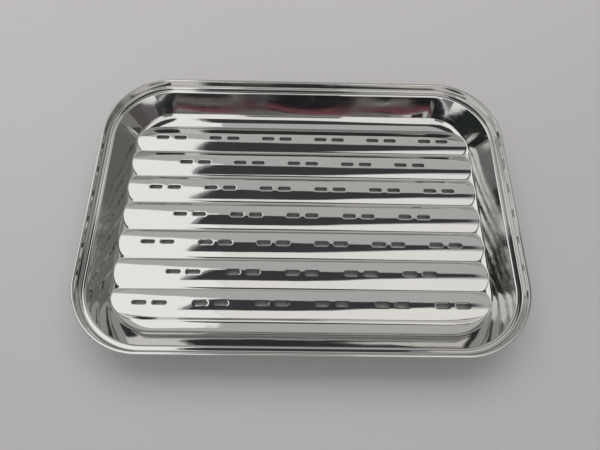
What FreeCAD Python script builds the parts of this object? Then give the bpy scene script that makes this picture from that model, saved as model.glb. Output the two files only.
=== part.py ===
"""Grill tray: one pressed stainless sheet with seven slotted ribs, steep walls and a rolled rim.

Millimetres, +Z up. The origin is under the middle of the tray, at the height it rests on. X runs
along the ribs and Y across them, with the back of the tray at +Y.

The sheet is drawn as the regions that its press tools form: ribs, foot strips, walls, wall corners,
rim lengths and rim corners. Neighbours meet face to face on planes, and no two of them overlap.
"""
import FreeCAD, Part
import math
import os

from FreeCAD import Vector

# overall; the width follows from the ribs and the section that borders them
tray_length = 340.0
tray_height = 32.5
corner_radius = 54.5        # plan radius of the rolled rim's outer edge
sheet = 0.5

# ribs
rib_count = 7
rib_pitch = 25.4
rib_height = 3.4            # crest above the valleys between the ribs
valley_flat = 1.0           # flat strip left in each valley

# slots: pairs of stadium holes along each crest, one pair fewer on every other rib
pairs_on_odd_rib = 6
slot_pitch = 15.9           # between the two slots of a pair
slot_length = 11.5
slot_width = 3.8
slot_end_margin = 8.4       # from the end of the flat floor to the nearest slot

# wall section, measured on the inner face
foot_strip = 1.0            # flat strip that the tray stands on, along the outer ribs
margin_bend = 3.0           # small bend that lifts the margin
margin_slope = 10.0         # degrees
margin_run = 3.4            # width of the sloping margin
base_fillet = 10.0
wall_draft = 30.0           # degrees from vertical

# rim section, measured on the inner face
ledge_height = 24.2
ledge_width = 1.17
shoulder_radius = 2.5       # wall to ledge
step_radius = 1.5           # ledge to upstand
upstand_draft = 6.0         # degrees from vertical
curl_radius = 1.2           # outside of the rolled edge
curl_turn = 280.0           # degrees that the edge is rolled through

Z_AXIS = Vector(0, 0, 1)


def sin(degrees):
    return math.sin(math.radians(degrees))


def cos(degrees):
    return math.cos(math.radians(degrees))


# --- the section through a wall -----------------------------------------------------------------
# A section is a list of steps. ("line", length) goes straight on, and ("arc", radius, turn) bends,
# to the left for a positive turn. It runs outwards, so the inner face of the sheet is on its left.

slope_length = margin_run / cos(margin_slope)
wall_heading = 90 - wall_draft
upstand_heading = 90 - upstand_draft

height_below_wall = (sheet + margin_bend * (1 - cos(margin_slope)) + slope_length * sin(margin_slope)
                     + base_fillet * (cos(margin_slope) - cos(wall_heading)))
height_of_shoulder = shoulder_radius * (1 - cos(wall_heading))
wall_length = (ledge_height - height_of_shoulder - height_below_wall) / sin(wall_heading)

height_of_step = step_radius * (1 - cos(upstand_heading))
top_of_upstand = tray_height - curl_radius + curl_radius * sin(upstand_draft)
upstand_length = (top_of_upstand - ledge_height - height_of_step) / sin(upstand_heading)

wall_steps = [
    ("arc", margin_bend, margin_slope),
    ("line", slope_length),
    ("arc", base_fillet, wall_heading - margin_slope),
    ("line", wall_length),
    ("arc", shoulder_radius, -wall_heading),
]
rim_steps = [
    ("line", ledge_width),
    ("arc", step_radius, upstand_heading),
    ("line", upstand_length),
    ("arc", curl_radius, -curl_turn),
]


def walk(start, heading, steps, below=0.0):
    """Follow the steps from start, on the line that lies `below` to their right. Returns the edges,
    then the end of the inner face and the heading there."""
    edges = []
    point = start
    for step in steps:
        right = Vector(sin(heading), 0, -cos(heading))
        if step[0] == "line":
            end = point + Vector(cos(heading), 0, sin(heading)) * step[1]
            edges.append(Part.LineSegment(point + right * below, end + right * below).toShape())
            point = end
            continue
        _, radius, turn = step
        side = -1 if turn > 0 else 1
        centre = point + right * (side * radius)
        reach = radius - side * below

        def on_arc(share):
            angle = heading + turn * share
            return centre - Vector(sin(angle), 0, -cos(angle)) * (side * reach)

        edges.append(Part.Arc(on_arc(0), on_arc(0.5), on_arc(1)).toShape())
        heading += turn
        point = centre - Vector(sin(heading), 0, -cos(heading)) * (side * radius)
    return edges, point, heading


def strip_face(start, heading, steps):
    """The section of the sheet itself, between its inner and its outer face."""
    inner, _, _ = walk(start, heading, steps)
    outer, _, _ = walk(start, heading, steps, sheet)
    ends = [Part.LineSegment(inner[0].firstVertex().Point, outer[0].firstVertex().Point).toShape(),
            Part.LineSegment(inner[-1].lastVertex().Point, outer[-1].lastVertex().Point).toShape()]
    return Part.Face(Part.Wire(Part.__sortEdges__(inner + outer + ends)))


def space_face(start, heading, steps, top):
    """The section of everything on the inner side of the sheet's outer face, up to a height."""
    outer, _, _ = walk(start, heading, steps, sheet)
    low = outer[0].firstVertex().Point
    high = outer[-1].lastVertex().Point
    corners = [high, Vector(high.x, 0, top), Vector(low.x, 0, top), low]
    closing = [Part.LineSegment(a, b).toShape() for a, b in zip(corners, corners[1:])]
    return Part.Face(Part.Wire(Part.__sortEdges__(outer + closing)))


# the section is walked once from nothing, to find how far it reaches, then put where it belongs
_, wall_reach, _ = walk(Vector(0, 0, sheet), 0, wall_steps)
_, upstand_reach, _ = walk(wall_reach, 0, rim_steps[:-1])
floor_inset = upstand_reach.x + curl_radius * cos(upstand_draft) + curl_radius
floor_radius = corner_radius - floor_inset
wall_start = Vector(floor_radius, 0, sheet)
rim_start = Vector(floor_radius + wall_reach.x, 0, wall_reach.z)


# --- the ribbed panel, which stands on the rise of the sloping margin ----------------------------

panel_lift = margin_bend * (1 - cos(margin_slope)) + slope_length * sin(margin_slope)
crest_height = panel_lift + sheet + rib_height
half_chord = (rib_pitch - valley_flat) / 2
rib_radius = (half_chord ** 2 + rib_height ** 2) / (2 * rib_height)
rib_axis_height = crest_height - rib_radius
outer_flank = math.sqrt(rib_radius ** 2 - (sheet - rib_axis_height) ** 2)

rib_rows = [((rib_count - 1) / 2 - index) * rib_pitch for index in range(rib_count)]
outer_row = rib_rows[0]
strip_start = outer_row + outer_flank

half_length = tray_length / 2
half_width = strip_start + foot_strip + floor_inset
floor_half_length = half_length - floor_inset
floor_half_width = half_width - floor_inset
centre_x = half_length - corner_radius
centre_y = half_width - corner_radius

slot_reach = floor_half_length - slot_end_margin
pair_pitch = (2 * slot_reach - slot_pitch - slot_length) / (pairs_on_odd_rib - 1)


def box(x0, x1, y0, y1, z0, z1):
    return Part.makeBox(x1 - x0, y1 - y0, z1 - z0, Vector(x0, y0, z0))


def rib_cylinder(row, radius):
    """The round bar whose top is a rib, running the whole length of the tray."""
    start = Vector(-half_length, row, rib_axis_height)
    return Part.makeCylinder(radius, tray_length, start, Vector(1, 0, 0))


def panel_body(inward):
    """All that lies under the ribbed panel's upper face, or under its lower face when inward is the
    thickness of the sheet."""
    plate = box(-half_length, half_length, -outer_row, outer_row, -sheet,
                panel_lift + sheet - inward)
    return plate.fuse([rib_cylinder(row, rib_radius - inward) for row in rib_rows])


def floor_prism(low, high):
    """Upright prism on the outline of the flat floor, a rectangle with round corners."""
    prism = box(-floor_half_length, floor_half_length, -centre_y, centre_y, low, high)
    prism = prism.fuse(box(-centre_x, centre_x, -floor_half_width, floor_half_width, low, high))
    posts = [Part.makeCylinder(floor_radius, high - low, Vector(sx * centre_x, sy * centre_y, low))
             for sx in (-1, 1) for sy in (-1, 1)]
    return prism.fuse(posts).removeSplitter()


def slot_cutter(x, y):
    """Stadium-shaped punch through a crest."""
    low = -sheet
    high = crest_height + sheet
    straight = slot_length - slot_width
    punch = box(x - straight / 2, x + straight / 2, y - slot_width / 2, y + slot_width / 2, low, high)
    ends = [Part.makeCylinder(slot_width / 2, high - low, Vector(x + side * straight / 2, y, low))
            for side in (-1, 1)]
    return punch.fuse(ends)


def slot_cutters(number, row):
    """The punches of one rib, in pairs spread evenly about the middle of its length."""
    pairs = pairs_on_odd_rib if number % 2 == 1 else pairs_on_odd_rib - 1
    middles = [(index - (pairs - 1) / 2) * pair_pitch for index in range(pairs)]
    return [slot_cutter(middle + side * slot_pitch / 2, row)
            for middle in middles for side in (-1, 1)]


# --- sweeping a section round the tray ----------------------------------------------------------

SIDES = {
    "right": (0, Vector(centre_x, -centre_y, 0), 2 * centre_y),
    "back": (90, Vector(centre_x, centre_y, 0), 2 * centre_x),
    "left": (180, Vector(-centre_x, centre_y, 0), 2 * centre_y),
    "front": (270, Vector(-centre_x, -centre_y, 0), 2 * centre_x),
}
CORNERS = {
    "back_right": (0, Vector(centre_x, centre_y, 0)),
    "back_left": (90, Vector(-centre_x, centre_y, 0)),
    "front_left": (180, Vector(-centre_x, -centre_y, 0)),
    "front_right": (270, Vector(centre_x, -centre_y, 0)),
}


def place(shape, angle, corner):
    placed = shape.copy()
    placed.rotate(Vector(0, 0, 0), Z_AXIS, angle)
    placed.translate(corner)
    return placed


def outward(solid):
    """The same solid with its faces turned outwards, whichever way its section was drawn."""
    return solid if solid.Volume > 0 else solid.reversed()


def along_side(face, name):
    angle, corner, length = SIDES[name]
    return place(outward(face.extrude(Vector(0, length, 0))), angle, corner)


def round_corner(face, name):
    angle, corner = CORNERS[name]
    return place(outward(face.revolve(Vector(0, 0, 0), Z_AXIS, 90)), angle, corner)


# --- the regions of the sheet -------------------------------------------------------------------

def with_rib_ends(wall, space, upper, lower):
    """A wall, with the ends of the ribs that run into its base fillet pressed up from it."""
    ends = upper.common(space)
    if ends.Volume > 0:
        wall = wall.fuse(ends)
    return wall.cut(lower).removeSplitter()


def make_walls(upper, lower):
    wall_face = strip_face(wall_start, 0, wall_steps)
    space = space_face(wall_start, 0, wall_steps[:-1], tray_height)
    pieces = {}
    for name in SIDES:
        pieces["wall_" + name] = with_rib_ends(
            along_side(wall_face, name), along_side(space, name), upper, lower)
    for name in CORNERS:
        pieces["wall_corner_" + name] = with_rib_ends(
            round_corner(wall_face, name), round_corner(space, name), upper, lower)
    return pieces


def make_rims():
    rim_face = strip_face(rim_start, 0, rim_steps)
    pieces = {"rim_" + name: along_side(rim_face, name) for name in SIDES}
    pieces.update({"rim_corner_" + name: round_corner(rim_face, name) for name in CORNERS})
    return pieces


def make_ribs(upper, lower):
    """Each rib takes the floor from valley to valley, and the two outer ones end at a foot strip."""
    pieces = {}
    zone = floor_prism(0, crest_height + sheet)
    panel = upper.common(zone).cut(lower)
    for number, row in enumerate(rib_rows, start=1):
        y0 = -strip_start if number == rib_count else row - rib_pitch / 2
        y1 = strip_start if number == 1 else row + rib_pitch / 2
        lane = box(-half_length, half_length, y0, y1, 0, crest_height + sheet)
        rib = panel.common(lane).cut(slot_cutters(number, row))
        pieces["rib_%d" % number] = rib.removeSplitter()
    return pieces


def make_foot_strips():
    """The flat floor left between an outer rib and the sloping margin, which the tray stands on."""
    plate = floor_prism(0, sheet)
    return {
        "foot_strip_back": plate.common(
            box(-half_length, half_length, strip_start, half_width, 0, sheet)),
        "foot_strip_front": plate.common(
            box(-half_length, half_length, -half_width, -strip_start, 0, sheet)),
    }


def main():
    upper = panel_body(0)
    lower = panel_body(sheet)
    pieces = {}
    pieces.update(make_ribs(upper, lower))
    pieces.update(make_foot_strips())
    pieces.update(make_walls(upper, lower))
    pieces.update(make_rims())
    os.makedirs("parts", exist_ok=True)
    for name, shape in pieces.items():
        extent = shape.optimalBoundingBox()
        print("%-26s solids %d valid %s volume %8.1f  x %7.2f %7.2f  y %7.2f %7.2f  z %6.2f %6.2f" % (
            name, len(shape.Solids), shape.isValid(), shape.Volume,
            extent.XMin, extent.XMax, extent.YMin, extent.YMax, extent.ZMin, extent.ZMax))
        shape.exportStep("parts/%s.step" % name)


print("width %.2f  floor inset %.2f  panel lift %.2f  rib radius %.2f  pair pitch %.2f" % (
    2 * half_width, floor_inset, panel_lift, rib_radius, pair_pitch))
main()
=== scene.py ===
"""Grill tray: one polished sheet with seven slotted ribs, steep walls and a rolled rim, on a pale table.

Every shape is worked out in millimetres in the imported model's frame, and goes into its mesh in metres.
"""
import math

import bpy
import numpy as np
from mathutils import Matrix, Vector


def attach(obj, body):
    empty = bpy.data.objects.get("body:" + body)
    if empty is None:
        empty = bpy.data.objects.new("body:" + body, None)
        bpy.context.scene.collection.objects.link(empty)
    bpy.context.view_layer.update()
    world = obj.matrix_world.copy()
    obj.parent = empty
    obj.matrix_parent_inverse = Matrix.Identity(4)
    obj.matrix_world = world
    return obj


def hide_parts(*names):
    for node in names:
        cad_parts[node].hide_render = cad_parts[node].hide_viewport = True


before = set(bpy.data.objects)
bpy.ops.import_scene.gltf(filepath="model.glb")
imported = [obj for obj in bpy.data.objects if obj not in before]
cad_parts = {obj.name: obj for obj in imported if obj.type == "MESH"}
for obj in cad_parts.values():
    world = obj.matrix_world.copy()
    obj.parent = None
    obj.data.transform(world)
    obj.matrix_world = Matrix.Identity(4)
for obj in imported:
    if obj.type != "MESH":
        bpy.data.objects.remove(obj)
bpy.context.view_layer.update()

MM = 0.001

# --- sizes of the tray, mm ------------------------------------------------------------------------

SHEET = 0.5
HALF_LENGTH = 170.0
CORNER_RADIUS = 54.5
HEIGHT = 32.5

RIB_COUNT = 7
RIB_PITCH = 25.4
RIB_RADIUS = 23.59
CREST_HEIGHT = 4.545
RIB_AXIS_HEIGHT = CREST_HEIGHT - RIB_RADIUS
OUTER_ROW = 76.2
STRIP_START = 89.41
OUTER_ROW_NUMBER = (RIB_COUNT - 1) // 2
ROUND_REACH = 16.0          # farther than this from a rib's crest line its round goes on as a slope
VALLEY_RADIUS = 3.0
CREASE_BLEND = 0.6

SLOT_PITCH = 15.9
PAIR_PITCH = 47.77
SLOT_LENGTH = 11.5
SLOT_WIDTH = 3.8
SLOT_LIP = 0.12
SLOT_LIP_REACH = 0.5
PATCH_HALF_WIDTH = 3.5

FOOT_STRIP = 1.0
MARGIN_BEND = 3.0
MARGIN_SLOPE = 10.0
MARGIN_RUN = 3.4
BASE_FILLET = 10.0
WALL_TILT = 60.0
SHOULDER_RADIUS = 2.5
LEDGE_HEIGHT = 24.2
LEDGE_WIDTH = 1.17
STEP_RADIUS = 1.5
UPSTAND_TILT = 84.0
CURL_RADIUS = 1.2
CURL_TURN = -280.0


def sine(degrees):
    return math.sin(math.radians(degrees))


def cosine(degrees):
    return math.cos(math.radians(degrees))


# the wall's and the upstand's straight lengths are what the bends above and below them leave
BELOW_WALL = (SHEET + MARGIN_BEND * (1 - cosine(MARGIN_SLOPE))
              + MARGIN_RUN * sine(MARGIN_SLOPE) / cosine(MARGIN_SLOPE)
              + BASE_FILLET * (cosine(MARGIN_SLOPE) - cosine(WALL_TILT)))
WALL_TOP = LEDGE_HEIGHT - SHOULDER_RADIUS * (1 - cosine(WALL_TILT))
WALL_LENGTH = (WALL_TOP - BELOW_WALL) / sine(WALL_TILT)
UPSTAND_TOP = HEIGHT - CURL_RADIUS + CURL_RADIUS * cosine(UPSTAND_TILT)
UPSTAND_LENGTH = (UPSTAND_TOP - LEDGE_HEIGHT - STEP_RADIUS * (1 - cosine(UPSTAND_TILT))) / sine(UPSTAND_TILT)

# section of the wall and of the rim, walked outwards on the inner face: length or radius, turn, pieces
WALL_STEPS = (
    (MARGIN_BEND, MARGIN_SLOPE, 3),
    (MARGIN_RUN / cosine(MARGIN_SLOPE), 0.0, 6),
    (BASE_FILLET, WALL_TILT - MARGIN_SLOPE, 24),
    (WALL_LENGTH, 0.0, 10),
    (SHOULDER_RADIUS, -WALL_TILT, 10),
)
RIM_STEPS = (
    (LEDGE_WIDTH, 0.0, 2),
    (STEP_RADIUS, UPSTAND_TILT, 10),
    (UPSTAND_LENGTH, 0.0, 4),
    (CURL_RADIUS, CURL_TURN, 30),
)


# --- shape of the sheet ---------------------------------------------------------------------------

def follow(steps, reach, height):
    """Section line: every straight step adds length times (cos h, sin h), and every bend keeps its
    centre at a right angle to the heading h. Gives reach, height, heading and distance walked."""
    reaches, heights = [np.array([reach])], [np.array([height])]
    headings, walked = [np.zeros(1)], [np.zeros(1)]
    heading, total = 0.0, 0.0
    for size, turn, count in steps:
        share = np.arange(1, count + 1) / count
        h = heading + math.radians(turn) * share
        if turn == 0.0:
            reaches.append(reach + size * share * math.cos(heading))
            heights.append(height + size * share * math.sin(heading))
            length = size
        else:
            side = -1.0 if turn > 0 else 1.0
            centre_reach = reach + side * size * math.sin(heading)
            centre_height = height - side * size * math.cos(heading)
            reaches.append(centre_reach - side * size * np.sin(h))
            heights.append(centre_height + side * size * np.cos(h))
            length = size * abs(math.radians(turn))
        headings.append(h)
        walked.append(total + length * share)
        reach, height, heading = reaches[-1][-1], heights[-1][-1], h[-1]
        total += length
    return [np.concatenate(part) for part in (reaches, heights, headings, walked)]


WALL_FROM_FLOOR = follow(WALL_STEPS, 0.0, SHEET)
RIM_FROM_FLOOR = follow(RIM_STEPS, WALL_FROM_FLOOR[0][-1], WALL_FROM_FLOOR[1][-1])
FLOOR_INSET = RIM_FROM_FLOOR[0].max()
FLOOR_RADIUS = CORNER_RADIUS - FLOOR_INSET
FLOOR_HALF_LENGTH = HALF_LENGTH - FLOOR_INSET
FLOOR_HALF_WIDTH = STRIP_START + FOOT_STRIP
CENTRE_X = HALF_LENGTH - CORNER_RADIUS
CENTRE_Y = FLOOR_HALF_WIDTH - FLOOR_RADIUS


def rib_profile(y):
    """Height of the ribbed panel across the tray, and its slope: bars of one radius side by side, with
    a hollow round of a smaller radius that touches both bars in each valley."""
    row = np.clip(np.round(y / RIB_PITCH), -OUTER_ROW_NUMBER, OUTER_ROW_NUMBER) * RIB_PITCH
    t = y - row
    inside = np.clip(t, -ROUND_REACH, ROUND_REACH)
    drop = np.sqrt(RIB_RADIUS ** 2 - inside ** 2)
    slope = -inside / drop
    height = RIB_AXIS_HEIGHT + drop + slope * (t - inside)
    half = RIB_PITCH / 2
    touch = half * VALLEY_RADIUS / (RIB_RADIUS + VALLEY_RADIUS)
    middle = RIB_AXIS_HEIGHT + math.sqrt((RIB_RADIUS + VALLEY_RADIUS) ** 2 - half ** 2)
    v = half - np.abs(t)
    valley = (np.abs(v) < touch) & (np.abs(y) < OUTER_ROW + 0.5 * half)
    root = np.sqrt(VALLEY_RADIUS ** 2 - np.where(valley, v, 0.0) ** 2)
    height = np.where(valley, middle - root, height)
    slope = np.where(valley, -np.sign(t) * v / root, slope)
    return height, slope


def higher_of(a, b):
    """The greater of two heights, with the crease between them filled by a parabola. Also gives the
    share of each in the slope."""
    near = np.clip((CREASE_BLEND - np.abs(a - b)) / CREASE_BLEND, 0.0, 1.0)
    height = np.maximum(a, b) + CREASE_BLEND * near ** 2 / 4
    share_a = np.where(a > b, 1 - near / 2, near / 2)
    return height, share_a


RIPPLES = (
    # height in mm, wave numbers per mm along X, Y and Z, phase
    (0.045, 0.071, 0.018, 0.050, 0.4),
    (0.035, -0.052, 0.083, 0.031, 2.1),
    (0.028, 0.118, -0.066, 0.090, 4.4),
    (0.014, 0.205, 0.171, -0.110, 1.3),
)
RIPPLES_END_BELOW_LEDGE = 8.0       # the ripples fade out over this height, mm
RIPPLES_START_ABOVE_FLOOR = 1.5


def rippled(place, normal):
    """Sum of a few long sine waves along the normal, as hand-fed thin sheet has, and the normal turned
    back by the waves' slope."""
    height = np.zeros(len(place))
    slope = np.zeros_like(place)
    for size, kx, ky, kz, phase in RIPPLES:
        k = np.array([kx, ky, kz])
        angle = place @ k + phase
        height += size * np.sin(angle)
        slope += (size * np.cos(angle))[:, None] * k
    upper = np.clip((LEDGE_HEIGHT - place[:, 2]) / RIPPLES_END_BELOW_LEDGE, 0.0, 1.0)
    lower = np.clip((place[:, 2] - SHEET) / RIPPLES_START_ABOVE_FLOOR, 0.0, 1.0)
    fade = upper * lower
    height *= fade
    slope *= fade[:, None]
    slope -= normal * (slope * normal).sum(1)[:, None]
    turned = normal - slope
    turned /= np.linalg.norm(turned, axis=1)[:, None]
    return place + normal * height[:, None], turned


# --- meshes ---------------------------------------------------------------------------------------

WELD_STEPS = 5000           # steps in a millimetre to which points are rounded when they are merged
LONG_CELL = 3.0             # length of a rib's cells between its slots, mm
ACROSS_SLOT = 8
ALONG_SLOT = 12
RING_DEPTHS = (0.0, 0.3, 0.55, 0.72, 0.84, 0.93, 1.0)   # from a slot's patch to its outline
STRETCH_START = 90.0        # the floor's round corners draw in a rib's cells from here outwards, mm
STRETCH_SPREAD = 12.0       # and that much sooner for each millimetre off the slots
STRIP_LINES = 4
STRIP_COLUMNS = 97
SIDE_LINES = 78
CORNER_LINES = 97
CHART_RADIUS = CORNER_RADIUS - 10.0


def grid_faces(rows, columns, first=0):
    """Quads of a grid whose points are counted row by row."""
    corner = first + (np.arange(rows - 1)[:, None] * columns + np.arange(columns - 1)[None, :]).ravel()
    return np.stack([corner, corner + 1, corner + columns + 1, corner + columns], axis=1)


def sheet_piece(name, place, normal, chart, faces, material):
    """One region of the sheet as a closed shell: the given upper face, the same face one sheet
    thickness below it along the normals, and a band between them round every edge."""
    key = np.round(place * WELD_STEPS).astype(np.int64)
    _, first, same = np.unique(key, axis=0, return_index=True, return_inverse=True)
    same = same.ravel()
    place, normal, chart, faces = place[first], normal[first], chart[first], same[faces]

    a, b, c, d = (place[faces[:, i]] for i in range(4))
    facing = np.cross(c - a, d - b)
    flip = (facing * normal[faces].sum(1)).sum(1) < 0
    faces[flip] = faces[flip][:, ::-1]

    start, end = faces.ravel(), np.roll(faces, -1, axis=1).ravel()
    count = len(place)
    code = np.minimum(start, end) * count + np.maximum(start, end)
    _, back, times = np.unique(code, return_inverse=True, return_counts=True)
    edge = times[back.ravel()] == 1
    start, end = start[edge], end[edge]

    place, normal = rippled(place, normal)
    under = place - normal * SHEET
    band = np.stack([end, start, start + count, end + count], axis=1)
    vertices = np.concatenate([place, under]) * MM
    quads = np.concatenate([faces, faces[:, ::-1] + count, band])

    along = place[end] - place[start]
    out = np.cross(along, normal[start])
    out /= np.linalg.norm(out, axis=1)[:, None] + 1e-12
    corner_normals = np.concatenate([
        normal[faces].reshape(-1, 3), -normal[faces[:, ::-1]].reshape(-1, 3), np.repeat(out, 4, axis=0)])
    both = np.concatenate([chart, chart]) * MM

    mesh = bpy.data.meshes.new(name)
    mesh.from_pydata(vertices.tolist(), [], quads.tolist())
    mesh.polygons.foreach_set("use_smooth", np.ones(len(quads), bool))
    layer = mesh.uv_layers.new(name="sheet")
    layer.data.foreach_set("uv", both[quads.ravel()].astype(np.float32).ravel())
    mesh.normals_split_custom_set(corner_normals.tolist())
    mesh.materials.append(material)
    mesh.update()
    piece = bpy.data.objects.new("tray_" + name, mesh)
    bpy.context.scene.collection.objects.link(piece)
    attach(piece, "root")
    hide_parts(name)


def panel_points(x, y):
    """Ribbed panel as a height over the floor: the higher of the ribs and the flat strip's level."""
    ribs, slope = rib_profile(y)
    height, share = higher_of(np.full_like(ribs, SHEET), ribs)
    normal = np.stack([np.zeros_like(x), -(1 - share) * slope, np.ones_like(x)], axis=-1)
    normal /= np.linalg.norm(normal, axis=-1)[..., None]
    return np.stack([x, y, height], axis=-1), normal


def floor_reach(y):
    """Half length of the floor at a distance y from the middle line: straight sides, round corners."""
    past = np.clip(np.abs(y) - CENTRE_Y, 0.0, FLOOR_RADIUS)
    return np.where(past > 0, CENTRE_X + np.sqrt(FLOOR_RADIUS ** 2 - past ** 2), FLOOR_HALF_LENGTH)


def spread(*marks):
    """Points from the first mark to the last, with the given number of equal steps between marks."""
    parts = [np.array([marks[0]])]
    for low, steps, high in zip(marks[0:-1:2], marks[1::2], marks[2::2]):
        parts.append(low + (high - low) * np.arange(1, steps + 1) / steps)
    return np.concatenate(parts)


VALLEY_TOUCH = RIB_PITCH / 2 * VALLEY_RADIUS / (RIB_RADIUS + VALLEY_RADIUS)


def rib_lines(number):
    """Distances from a rib's crest line at which its lane is divided, from front to back."""
    half = RIB_PITCH / 2
    inner = spread(PATCH_HALF_WIDTH, 12, half - VALLEY_TOUCH, 5, half)
    outer = spread(PATCH_HALF_WIDTH, 15, STRIP_START - OUTER_ROW)
    middle = spread(-PATCH_HALF_WIDTH, ACROSS_SLOT, PATCH_HALF_WIDTH)
    front = outer if number == RIB_COUNT else inner
    back = outer if number == 1 else inner
    return np.concatenate([-front[:0:-1], middle, back[1:]])


def slot_middles(number):
    """Where along a rib its slots lie: pairs spread evenly, one pair fewer on every other rib."""
    pairs = 6 if number % 2 == 1 else 5
    middles = (np.arange(pairs) - (pairs - 1) / 2) * PAIR_PITCH
    return np.sort(np.concatenate([middles - SLOT_PITCH / 2, middles + SLOT_PITCH / 2]))


def slot_ring():
    """The same number of points round a slot's patch and round the slot itself, counted alike: the
    short sides of the patch go to the half circles, and its long sides to the straight edges."""
    a, b = SLOT_PITCH / 2, PATCH_HALF_WIDTH
    straight, r = (SLOT_LENGTH - SLOT_WIDTH) / 2, SLOT_WIDTH / 2
    s = np.arange(ACROSS_SLOT) / ACROSS_SLOT
    l = np.arange(ALONG_SLOT) / ALONG_SLOT
    turn = np.pi * s - np.pi / 2
    patch = np.concatenate([
        np.stack([np.full_like(s, a), -b + 2 * b * s], 1),
        np.stack([a - 2 * a * l, np.full_like(l, b)], 1),
        np.stack([np.full_like(s, -a), b - 2 * b * s], 1),
        np.stack([-a + 2 * a * l, np.full_like(l, -b)], 1)])
    slot = np.concatenate([
        np.stack([straight + r * np.cos(turn), r * np.sin(turn)], 1),
        np.stack([straight - 2 * straight * l, np.full_like(l, r)], 1),
        np.stack([-straight - r * np.cos(turn), -r * np.sin(turn)], 1),
        np.stack([-straight + 2 * straight * l, np.full_like(l, -r)], 1)])
    return patch, slot


def lipped(place, normal, x, y):
    """Lip round a slot: the sheet sinks by a bell curve of the distance from the slot's outline."""
    straight = (SLOT_LENGTH - SLOT_WIDTH) / 2
    dx = place[:, 0] - x
    dx = dx - np.clip(dx, -straight, straight)
    dy = place[:, 1] - y
    far = np.hypot(dx, dy)
    edge = np.maximum(far - SLOT_WIDTH / 2, 0.0)
    sink = SLOT_LIP * np.exp(-(edge / SLOT_LIP_REACH) ** 2)
    rise = sink * 2 * edge / SLOT_LIP_REACH ** 2 / np.maximum(far, 1e-6)
    slope = normal[:, :2] / normal[:, 2:]
    slope = slope - np.stack([rise * dx, rise * dy], 1)
    turned = np.concatenate([slope, np.ones((len(slope), 1))], axis=1)
    turned /= np.linalg.norm(turned, axis=1)[:, None]
    lowered = place.copy()
    lowered[:, 2] -= sink
    return lowered, turned


def make_rib(number, material):
    """A rib's lane from valley to valley: a grid along and across it, with nested rings of cells put
    in place of the cells round each slot."""
    row = OUTER_ROW - (number - 1) * RIB_PITCH
    across = row + rib_lines(number)
    middles = slot_middles(number)
    half_patch = SLOT_PITCH / 2
    lines, cut = [np.zeros(0)], []
    ends = np.concatenate([[-FLOOR_HALF_LENGTH], np.repeat(middles, 2), [FLOOR_HALF_LENGTH]])
    ends[1:-1] += np.tile([-half_patch, half_patch], len(middles))
    for low, high, is_slot in zip(ends[:-1], ends[1:], [False, True] * len(middles) + [False]):
        if high - low < 1e-6:
            continue
        steps = ALONG_SLOT if is_slot else max(2, round((high - low) / LONG_CELL))
        lines.append(np.linspace(low, high, steps, endpoint=False))
        cut += [is_slot] * steps
    along = np.concatenate(lines + [np.array([FLOOR_HALF_LENGTH])])

    x, y = np.meshgrid(along, across)
    last = abs(middles[-1]) + half_patch
    off_slot = np.maximum(np.abs(y - row) - PATCH_HALF_WIDTH, 0.0)
    stretch_from = np.clip(last - STRETCH_SPREAD * off_slot, STRETCH_START, last)
    share = np.clip((np.abs(x) - stretch_from) / (FLOOR_HALF_LENGTH - stretch_from), 0.0, 1.0)
    x = x + np.sign(x) * share * (floor_reach(y) - FLOOR_HALF_LENGTH)

    place, normal = panel_points(x.ravel(), y.ravel())
    chart = np.stack([x.ravel(), y.ravel()], 1)
    faces = grid_faces(*x.shape).reshape(x.shape[0] - 1, x.shape[1] - 1, 4)
    in_patch = np.abs((across[:-1] + across[1:]) / 2 - row) < PATCH_HALF_WIDTH
    keep = ~(in_patch[:, None] & np.array(cut)[None, :])
    places, normals, charts, quads = [place], [normal], [chart], [faces[keep]]

    patch, slot = slot_ring()
    depth = np.array(RING_DEPTHS)[:, None, None]
    ring = patch[None] * (1 - depth) + slot[None] * depth
    rings, count = ring.shape[:2]
    i = np.arange(rings - 1)[:, None] * count
    j = np.arange(count)[None, :]
    k = (j + 1) % count
    ring_faces = np.stack([i + j, i + k, i + count + k, i + count + j], axis=-1).reshape(-1, 4)
    first = len(place)
    for middle in middles:
        flat = ring.reshape(-1, 2) + np.array([middle, row])
        place, normal = panel_points(flat[:, 0], flat[:, 1])
        place, normal = lipped(place, normal, middle, row)
        places.append(place)
        normals.append(normal)
        charts.append(flat)
        quads.append(ring_faces + first)
        first += len(place)
    sheet_piece("rib_%d" % number, np.concatenate(places), np.concatenate(normals),
                np.concatenate(charts), np.concatenate(quads), material)


def make_foot_strip(name, side, material):
    """Flat floor between an outer rib and the sloping margin, from end to end of the floor."""
    across = side * np.linspace(STRIP_START, FLOOR_HALF_WIDTH, STRIP_LINES)
    share, y = np.meshgrid(np.linspace(-1, 1, STRIP_COLUMNS), across)
    x = share * floor_reach(y)
    place, normal = panel_points(x.ravel(), y.ravel())
    sheet_piece(name, place, normal, place[:, :2].copy(), grid_faces(*x.shape), material)


SIDES = {"right": 0, "back": 90, "left": 180, "front": 270}
CORNERS = {"back_right": 0, "back_left": 90, "front_left": 180, "front_right": 270}
WALL_LINE = follow(WALL_STEPS, FLOOR_RADIUS, SHEET)
RIM_LINE = follow(RIM_STEPS, WALL_LINE[0][-1], WALL_LINE[1][-1])


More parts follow.
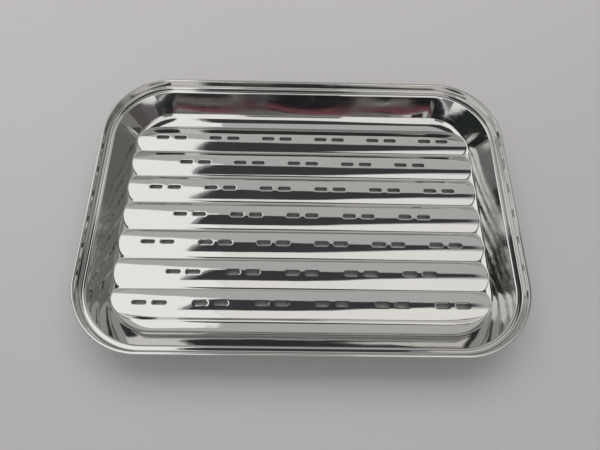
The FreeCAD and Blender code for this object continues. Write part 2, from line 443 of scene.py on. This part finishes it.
def side_base(name):
    """A line of points along one side's corner centres, with the direction outwards at each."""
    angle = SIDES[name]
    if name in ("right", "left"):
        lines = np.concatenate([OUTER_ROW - n * RIB_PITCH + rib_lines(n + 1) for n in range(RIB_COUNT)])
        lines = np.unique(np.round(lines[np.abs(lines) < CENTRE_Y], 6))
        lines = np.concatenate([[-CENTRE_Y], lines, [CENTRE_Y]])
        side = 1.0 if name == "right" else -1.0
        base = np.stack([np.full_like(lines, side * CENTRE_X), lines], 1)
    else:
        lines = np.linspace(-CENTRE_X, CENTRE_X, SIDE_LINES)
        side = 1.0 if name == "back" else -1.0
        base = np.stack([lines, np.full_like(lines, side * CENTRE_Y)], 1)
    return base, np.full(len(lines), math.radians(angle)), lines


def corner_base(name):
    """One corner centre, with directions turning through a quarter circle."""
    angle = CORNERS[name]
    sign_x = 1.0 if "right" in name else -1.0
    sign_y = 1.0 if "back" in name else -1.0
    turns = np.radians(angle + np.linspace(0, 90, CORNER_LINES))
    base = np.tile([sign_x * CENTRE_X, sign_y * CENTRE_Y], (len(turns), 1))
    return base, turns, (turns - turns[0]) * CHART_RADIUS


def swept(section, base, turns, lines, with_ribs):
    """Section carried along a base line: plan place = base + reach times the outward direction. Where
    the ribs run in, the height is the higher of the section and the ribs."""
    reach, height, heading, walked = section
    cos, sin = np.cos(turns)[:, None], np.sin(turns)[:, None]
    x = base[:, :1] + reach[None, :] * cos
    y = base[:, 1:] + reach[None, :] * sin
    z = np.repeat(height[None, :], len(base), axis=0)
    lean, up = np.sin(heading)[None, :], np.cos(heading)[None, :]
    normal = np.stack(np.broadcast_arrays(-lean * cos, -lean * sin, up + 0 * cos), axis=-1)
    if with_ribs:
        ribs, slope = rib_profile(y)
        z, share = higher_of(z, ribs)
        steep = np.tan(heading)[None, :]
        back = -share * steep * sin - (1 - share) * slope
        bent = np.stack([-share * steep * cos, back, np.ones_like(z)], axis=-1)
        bent /= np.linalg.norm(bent, axis=-1)[..., None]
        normal = np.where((share < 1)[..., None], bent, normal)
    place = np.stack([x, y, z], axis=-1).reshape(-1, 3)
    chart = np.stack(np.broadcast_arrays(lines[:, None], walked[None, :]), axis=-1).reshape(-1, 2)
    return place, normal.reshape(-1, 3), chart, grid_faces(len(base), len(reach))


def make_border(kind, section, with_ribs, material):
    """Walls or rim lengths: four sides and four corners."""
    for name in SIDES:
        sheet_piece("%s_%s" % (kind, name), *swept(section, *side_base(name), with_ribs), material)
    for name in CORNERS:
        sheet_piece("%s_corner_%s" % (kind, name), *swept(section, *corner_base(name), with_ribs), material)


# --- finishes -------------------------------------------------------------------------------------

FINISHES = {
    # depth of the lines and of the waves in metres, roughness where clean and where handled
    "polished ribs": (0.0000006, 0.00012, 0.035, 0.11),
    "drawn walls": (0.0000012, 0.00010, 0.04, 0.13),
    "rolled rim": (0.0000012, 0.00006, 0.04, 0.13),
}
BRIGHT_STEEL = (0.640, 0.630, 0.608, 1)
BLUE_STEEL = (0.600, 0.596, 0.586, 1)
WORN_STEEL = (0.520, 0.520, 0.515, 1)
HANDLING = 0.7

# noise scales, per metre
CLOUDS, PRINTS, TINTS = 22.0, 90.0, 9.0
SLOW_WAVES, QUICK_WAVES, QUICK_SHARE = 28.0, 140.0, 0.12
FINE_LINES = (14.0, 2600.0, 1.0)
DEEP_SCRATCHES = (9.0, 900.0, 1.0)
SCRATCH_TURN = (0.0, 0.0, 0.004)
LAMINATE_SPECKLE, LAMINATE_CLOUD = 700.0, 3.0


def new_group(name, inputs, outputs):
    """Empty shader node group with float or colour sockets."""
    group = bpy.data.node_groups.new(name, "ShaderNodeTree")
    kinds = {"value": "NodeSocketFloat", "colour": "NodeSocketColor", "vector": "NodeSocketVector"}
    for label, kind, default in inputs:
        socket = group.interface.new_socket(label, in_out="INPUT", socket_type=kinds[kind])
        if default is not None:
            socket.default_value = default
    for label, kind in outputs:
        group.interface.new_socket(label, in_out="OUTPUT", socket_type=kinds[kind])
    return group, group.nodes.new("NodeGroupInput"), group.nodes.new("NodeGroupOutput")


def node(tree, kind, **settings):
    made = tree.nodes.new(kind)
    for key, value in settings.items():
        setattr(made, key, value)
    return made


def maths(tree, operation, a, b=None, clamp=False):
    """One maths node; a and b are sockets or numbers."""
    made = node(tree, "ShaderNodeMath", operation=operation, use_clamp=clamp)
    for slot, value in zip(made.inputs, (a, b)):
        if value is None:
            continue
        if isinstance(value, (int, float)):
            slot.default_value = value
        else:
            tree.links.new(value, slot)
    return made.outputs[0]


def noise(tree, vector, scale, detail, roughness=0.5):
    made = node(tree, "ShaderNodeTexNoise")
    made.inputs["Scale"].default_value = scale
    made.inputs["Detail"].default_value = detail
    made.inputs["Roughness"].default_value = roughness
    tree.links.new(vector, made.inputs["Vector"])
    return made.outputs["Fac"]


def ramp(tree, value, low, high, to_low=0.0, to_high=1.0):
    made = node(tree, "ShaderNodeMapRange")
    made.inputs["From Min"].default_value = low
    made.inputs["From Max"].default_value = high
    made.inputs["To Min"].default_value = to_low
    made.inputs["To Max"].default_value = to_high
    tree.links.new(value, made.inputs["Value"])
    return made.outputs["Result"]


def make_handling_group():
    """Handling marks: cloudy wipes and finger-sized smudges that dull the polish a little."""
    group, inside, outside = new_group(
        "handling marks", [("Place", "vector", None), ("Strength", "value", 1.0)],
        [("Dulling", "value"), ("Tint", "value")])
    clouds = ramp(group, noise(group, inside.outputs["Place"], CLOUDS, 3.0), 0.45, 0.72)
    prints = ramp(group, noise(group, inside.outputs["Place"], PRINTS, 2.0), 0.58, 0.70)
    both = maths(group, "ADD", clouds, maths(group, "MULTIPLY", prints, 0.5))
    scaled = maths(group, "MULTIPLY", both, inside.outputs["Strength"], clamp=True)
    group.links.new(scaled, outside.inputs["Dulling"])
    tint = noise(group, inside.outputs["Place"], TINTS, 2.0)
    group.links.new(tint, outside.inputs["Tint"])
    return group


def make_lines_group():
    """Drawing lines: fine parallel lines that the press tools leave, stretched along the first
    direction of the sheet's chart, with a few deeper scratches among them."""
    group, inside, outside = new_group(
        "drawing lines", [("Chart", "vector", None), ("Fineness", "value", 1.0)],
        [("Lines", "value"), ("Height", "value")])
    stretch = node(group, "ShaderNodeMapping")
    stretch.inputs["Scale"].default_value = FINE_LINES
    group.links.new(inside.outputs["Chart"], stretch.inputs["Vector"])
    fine = noise(group, stretch.outputs["Vector"], 1.0, 3.0, 0.6)
    deep = node(group, "ShaderNodeMapping")
    deep.inputs["Scale"].default_value = DEEP_SCRATCHES
    deep.inputs["Rotation"].default_value = SCRATCH_TURN
    group.links.new(inside.outputs["Chart"], deep.inputs["Vector"])
    scratch = ramp(group, noise(group, deep.outputs["Vector"], 1.0, 1.0), 0.64, 0.74)
    height = maths(group, "SUBTRACT", maths(group, "MULTIPLY", fine, inside.outputs["Fineness"]), scratch)
    group.links.new(height, outside.inputs["Height"])
    seen = maths(group, "ADD", ramp(group, fine, 0.5, 0.8), scratch, clamp=True)
    group.links.new(seen, outside.inputs["Lines"])
    return group


def make_sheet_waves_group():
    """Sheet waves: the slight unevenness of thin pressed sheet, a few centimetres long."""
    group, inside, outside = new_group(
        "sheet waves", [("Place", "vector", None)], [("Height", "value")])
    slow = noise(group, inside.outputs["Place"], SLOW_WAVES, 1.0)
    quick = noise(group, inside.outputs["Place"], QUICK_WAVES, 2.0)
    total = maths(group, "ADD", slow, maths(group, "MULTIPLY", quick, QUICK_SHARE))
    group.links.new(total, outside.inputs["Height"])
    return group


def polished(name, groups, lines_depth, waves_depth, rough_low, rough_high):
    """Mirror-polished stainless sheet. Colour, roughness and bump vary with handling, waves and lines."""
    handling, lines, waves = groups
    material = bpy.data.materials.new(name)
    material.use_nodes = True
    tree = material.node_tree
    shader = tree.nodes["Principled BSDF"]
    shader.inputs["Metallic"].default_value = 1.0
    where = node(tree, "ShaderNodeTexCoord")
    marks = node(tree, "ShaderNodeGroup", node_tree=handling)
    marks.inputs["Strength"].default_value = HANDLING
    tree.links.new(where.outputs["Object"], marks.inputs["Place"])
    drawn = node(tree, "ShaderNodeGroup", node_tree=lines)
    drawn.inputs["Fineness"].default_value = 1.0
    tree.links.new(where.outputs["UV"], drawn.inputs["Chart"])
    wavy = node(tree, "ShaderNodeGroup", node_tree=waves)
    tree.links.new(where.outputs["Object"], wavy.inputs["Place"])

    colour = node(tree, "ShaderNodeMix", data_type="RGBA")
    colour.inputs["A"].default_value = BRIGHT_STEEL
    colour.inputs["B"].default_value = BLUE_STEEL
    tree.links.new(marks.outputs["Tint"], colour.inputs["Factor"])
    worn = node(tree, "ShaderNodeMix", data_type="RGBA")
    worn.inputs["B"].default_value = WORN_STEEL
    tree.links.new(maths(tree, "MULTIPLY", drawn.outputs["Lines"], 0.25), worn.inputs["Factor"])
    tree.links.new(colour.outputs["Result"], worn.inputs["A"])
    tree.links.new(worn.outputs["Result"], shader.inputs["Base Color"])

    lined = maths(tree, "MULTIPLY", drawn.outputs["Lines"], 0.6)
    dull = maths(tree, "ADD", marks.outputs["Dulling"], lined, clamp=True)
    tree.links.new(ramp(tree, dull, 0.0, 1.0, rough_low, rough_high), shader.inputs["Roughness"])

    slow = node(tree, "ShaderNodeBump")
    slow.inputs["Strength"].default_value = 1.0
    slow.inputs["Distance"].default_value = waves_depth
    tree.links.new(wavy.outputs["Height"], slow.inputs["Height"])
    fine = node(tree, "ShaderNodeBump")
    fine.inputs["Strength"].default_value = 1.0
    fine.inputs["Distance"].default_value = lines_depth
    tree.links.new(drawn.outputs["Height"], fine.inputs["Height"])
    tree.links.new(slow.outputs["Normal"], fine.inputs["Normal"])
    tree.links.new(fine.outputs["Normal"], shader.inputs["Normal"])
    return material


def make_tray():
    groups = (make_handling_group(), make_lines_group(), make_sheet_waves_group())
    ribbed, drawn, rolled = (polished(name, groups, *values) for name, values in FINISHES.items())
    for number in range(1, RIB_COUNT + 1):
        make_rib(number, ribbed)
    make_foot_strip("foot_strip_back", 1.0, ribbed)
    make_foot_strip("foot_strip_front", -1.0, ribbed)
    make_border("wall", WALL_LINE, True, drawn)
    make_border("rim", RIM_LINE, False, rolled)


# --- table, light and camera ----------------------------------------------------------------------

TABLE_REACH = 3.0
TABLE_HEIGHT = -0.0003
TABLE_GREY = (0.70, 0.675, 0.675, 1)
TABLE_PALE = (0.77, 0.745, 0.745, 1)
ROOM_COLOUR = (0.97, 0.985, 1.0, 1)
ROOM_STRENGTH = 0.30
CEILING = 0.52              # height of the cards overhead; what covers another hangs a little lower

CAMERA_PLACE = (-0.0077, -0.1546, 0.3559)
CAMERA_YAW, CAMERA_PITCH, CAMERA_ROLL = 2.22, 67.46, 2.88
SENSOR_WIDTH, LENS = 36.0, 27.06


def make_table():
    """Pale laminate table top, a little below the tray's lowest point, seen through from beneath."""
    material = bpy.data.materials.new("pale laminate")
    material.use_nodes = True
    tree = material.node_tree
    shader = tree.nodes["Principled BSDF"]
    shader.inputs["Roughness"].default_value = 0.55
    where = node(tree, "ShaderNodeTexCoord")
    speckle = noise(tree, where.outputs["Object"], LAMINATE_SPECKLE, 2.0)
    cloud = noise(tree, where.outputs["Object"], LAMINATE_CLOUD, 2.0)
    mix = node(tree, "ShaderNodeMix", data_type="RGBA")
    mix.inputs["A"].default_value = TABLE_GREY
    mix.inputs["B"].default_value = TABLE_PALE
    halves = [maths(tree, "MULTIPLY", part, 0.5) for part in (speckle, cloud)]
    tree.links.new(maths(tree, "ADD", *halves), mix.inputs["Factor"])
    tree.links.new(mix.outputs["Result"], shader.inputs["Base Color"])
    clear = node(tree, "ShaderNodeBsdfTransparent")
    side = node(tree, "ShaderNodeNewGeometry")
    choose = node(tree, "ShaderNodeMixShader")
    tree.links.new(side.outputs["Backfacing"], choose.inputs["Fac"])
    tree.links.new(shader.outputs["BSDF"], choose.inputs[1])
    tree.links.new(clear.outputs["BSDF"], choose.inputs[2])
    tree.links.new(choose.outputs["Shader"], tree.nodes["Material Output"].inputs["Surface"])

    mesh = bpy.data.meshes.new("table_top")
    corners = level(-TABLE_REACH, TABLE_REACH, -TABLE_REACH, TABLE_REACH, TABLE_HEIGHT)
    mesh.from_pydata(corners, [], [(0, 1, 2, 3)])
    mesh.materials.append(material)
    table = bpy.data.objects.new("table_top", mesh)
    bpy.context.scene.collection.objects.link(table)


def card(name, corners, colour, strength, lights_table=False):
    """Flat card that the camera doesn't see: it either shows in the polish or lights the table."""
    mesh = bpy.data.meshes.new(name)
    mesh.from_pydata(corners, [], [tuple(range(len(corners)))])
    material = bpy.data.materials.new(name)
    material.use_nodes = True
    tree = material.node_tree
    tree.nodes.remove(tree.nodes["Principled BSDF"])
    glow = node(tree, "ShaderNodeEmission")
    glow.inputs["Color"].default_value = (*colour, 1)
    glow.inputs["Strength"].default_value = strength
    tree.links.new(glow.outputs["Emission"], tree.nodes["Material Output"].inputs["Surface"])
    mesh.materials.append(material)
    made = bpy.data.objects.new(name, mesh)
    bpy.context.scene.collection.objects.link(made)
    made.visible_camera = False
    made.visible_diffuse = lights_table
    made.visible_glossy = not lights_table
    made.visible_shadow = False


def level(x0, x1, y0, y1, z):
    """Corners of a level rectangle."""
    return [(x0, y0, z), (x1, y0, z), (x1, y1, z), (x0, y1, z)]


def overhead(rise, *plan):
    """Corners of a level card of any outline, at a rise above the lowest cards overhead."""
    return [(x, y, CEILING + rise) for x, y in plan]


def upright(start, end, low, high):
    """Corners of an upright rectangle over a line in plan."""
    return [(*start, low), (*end, low), (*end, high), (*start, high)]


# what the polish mirrors: name, corners in metres, colour, strength
CARDS = (
    ("dark_flag",
     overhead(0.0, (-0.17, 0.19), (-0.215, -0.21), (0.01, -0.20), (0.06, -0.17), (0.11, -0.12),
              (0.25, -0.02), (0.36, 0.03), (0.36, 0.15), (0.10, 0.15)),
     (0.92, 0.97, 1.05), 0.058),
    ("dark_flag_halo",
     overhead(0.002, (-0.185, 0.205), (-0.23, -0.225), (0.015, -0.218), (0.07, -0.19), (0.12, -0.14),
              (0.26, -0.04), (0.375, 0.02), (0.375, 0.165), (0.10, 0.17)),
     (0.95, 0.97, 1.0), 0.34),
    ("soft_light_left",
     overhead(0.01, (-1.7, 1.0), (-1.7, 0.15), (-1.0, -0.05), (-1.0, -1.45), (-0.16, -1.45),
              (-0.16, 0.24), (-0.45, 0.55)),
     (1.0, 0.995, 0.98), 1.22),
    ("soft_light_near", level(-0.16, 0.7, -1.45, -0.06, CEILING + 0.015), (1.0, 0.985, 0.95), 1.1),
    ("soft_light_near_halo", level(-0.16, 0.7, -0.06, -0.02, CEILING + 0.015), (1.0, 0.985, 0.95), 0.72),
    ("grey_ceiling",
     overhead(0.02, (-0.9, -0.1), (0.55, -0.1), (0.75, 1.4), (-1.3, 1.4)), (0.98, 0.98, 0.97), 0.60),
    ("low_flag_left", upright((-1.85, 1.6), (-1.85, -1.5), 0.0, 0.72), (0.65, 0.8, 0.72), 0.04),
    ("near_wall", upright((-1.9, -1.6), (2.4, -1.6), 0.14, 0.66), (1.0, 0.99, 0.97), 1.05),
    ("low_flag_near",
     [(-1.9, -1.5, 0.0), (0.75, -1.5, 0.0), (0.75, -1.5, 0.34), (0.3, -1.5, 0.31), (-0.5, -1.5, 0.31),
      (-1.9, -1.5, 0.52)],
     (0.9, 0.9, 1.1), 0.014),
    ("low_flag_near_right",
     [(0.75, -1.5, 0.0), (2.3, -1.5, 0.0), (2.3, -1.5, 0.56), (0.75, -1.5, 0.34)],
     (1.0, 0.92, 1.0), 0.14),
    ("low_flag_right", upright((1.87, -1.5), (1.87, -0.45), 0.0, 0.50), (1.0, 0.94, 0.92), 0.12),
    ("red_trim", upright((-1.9, -1.495), (1.9, -1.495), 0.194, 0.212), (1.0, 0.34, 0.42), 0.23),
    ("window_left", upright((-0.65, -1.49), (-0.24, -1.49), 0.225, 0.247), (1.0, 0.93, 0.84), 0.20),
    ("window_right", upright((0.26, -1.49), (0.50, -1.49), 0.225, 0.247), (1.0, 0.97, 0.85), 0.31),
    ("middle_flag_near", upright((-0.12, -0.45), (0.09, -0.45), 0.125, 0.36), (0.9, 0.97, 1.05), 0.23),
    ("far_wall_right", upright((1.9, -1.5), (1.9, 1.9), 0.0, 1.2), (1.0, 0.98, 0.90), 0.26),
    ("far_wall_back", upright((-1.9, 1.9), (1.9, 1.9), 0.0, 1.1), (1.0, 0.98, 0.93), 0.26),
)


def make_light():
    """Pale room, the cards that the polish mirrors, and one soft light for the table."""
    world = bpy.data.worlds.new("room")
    bpy.context.scene.world = world
    world.use_nodes = True
    background = world.node_tree.nodes["Background"]
    background.inputs["Color"].default_value = ROOM_COLOUR
    background.inputs["Strength"].default_value = ROOM_STRENGTH
    for values in CARDS:
        card(*values)
    card("fill", level(-1.1, 0.95, 0.25, 1.5, 1.3), (1.0, 0.98, 0.985), 1.75, lights_table=True)


def make_camera():
    """Looks down over the front edge, a little from the left and slightly tilted."""
    yaw, pitch, roll = (math.radians(angle) for angle in (CAMERA_YAW, CAMERA_PITCH, CAMERA_ROLL))
    ahead = Vector((math.sin(yaw) * math.cos(pitch), math.cos(yaw) * math.cos(pitch), -math.sin(pitch)))
    level_right = Vector((math.cos(yaw), -math.sin(yaw), 0.0))
    level_up = level_right.cross(ahead)
    right = math.cos(roll) * level_right + math.sin(roll) * level_up
    up = -math.sin(roll) * level_right + math.cos(roll) * level_up
    data = bpy.data.cameras.new("camera")
    data.sensor_width = SENSOR_WIDTH
    data.lens = LENS
    data.clip_start, data.clip_end = 0.01, 20.0
    camera = bpy.data.objects.new("camera", data)
    turn = Matrix((right, up, -ahead)).transposed()
    camera.matrix_world = Matrix.Translation(CAMERA_PLACE) @ turn.to_4x4()
    bpy.context.scene.collection.objects.link(camera)
    bpy.context.scene.camera = camera


bpy.context.scene.view_settings.view_transform = "Standard"
make_tray()
make_table()
make_light()
make_camera()
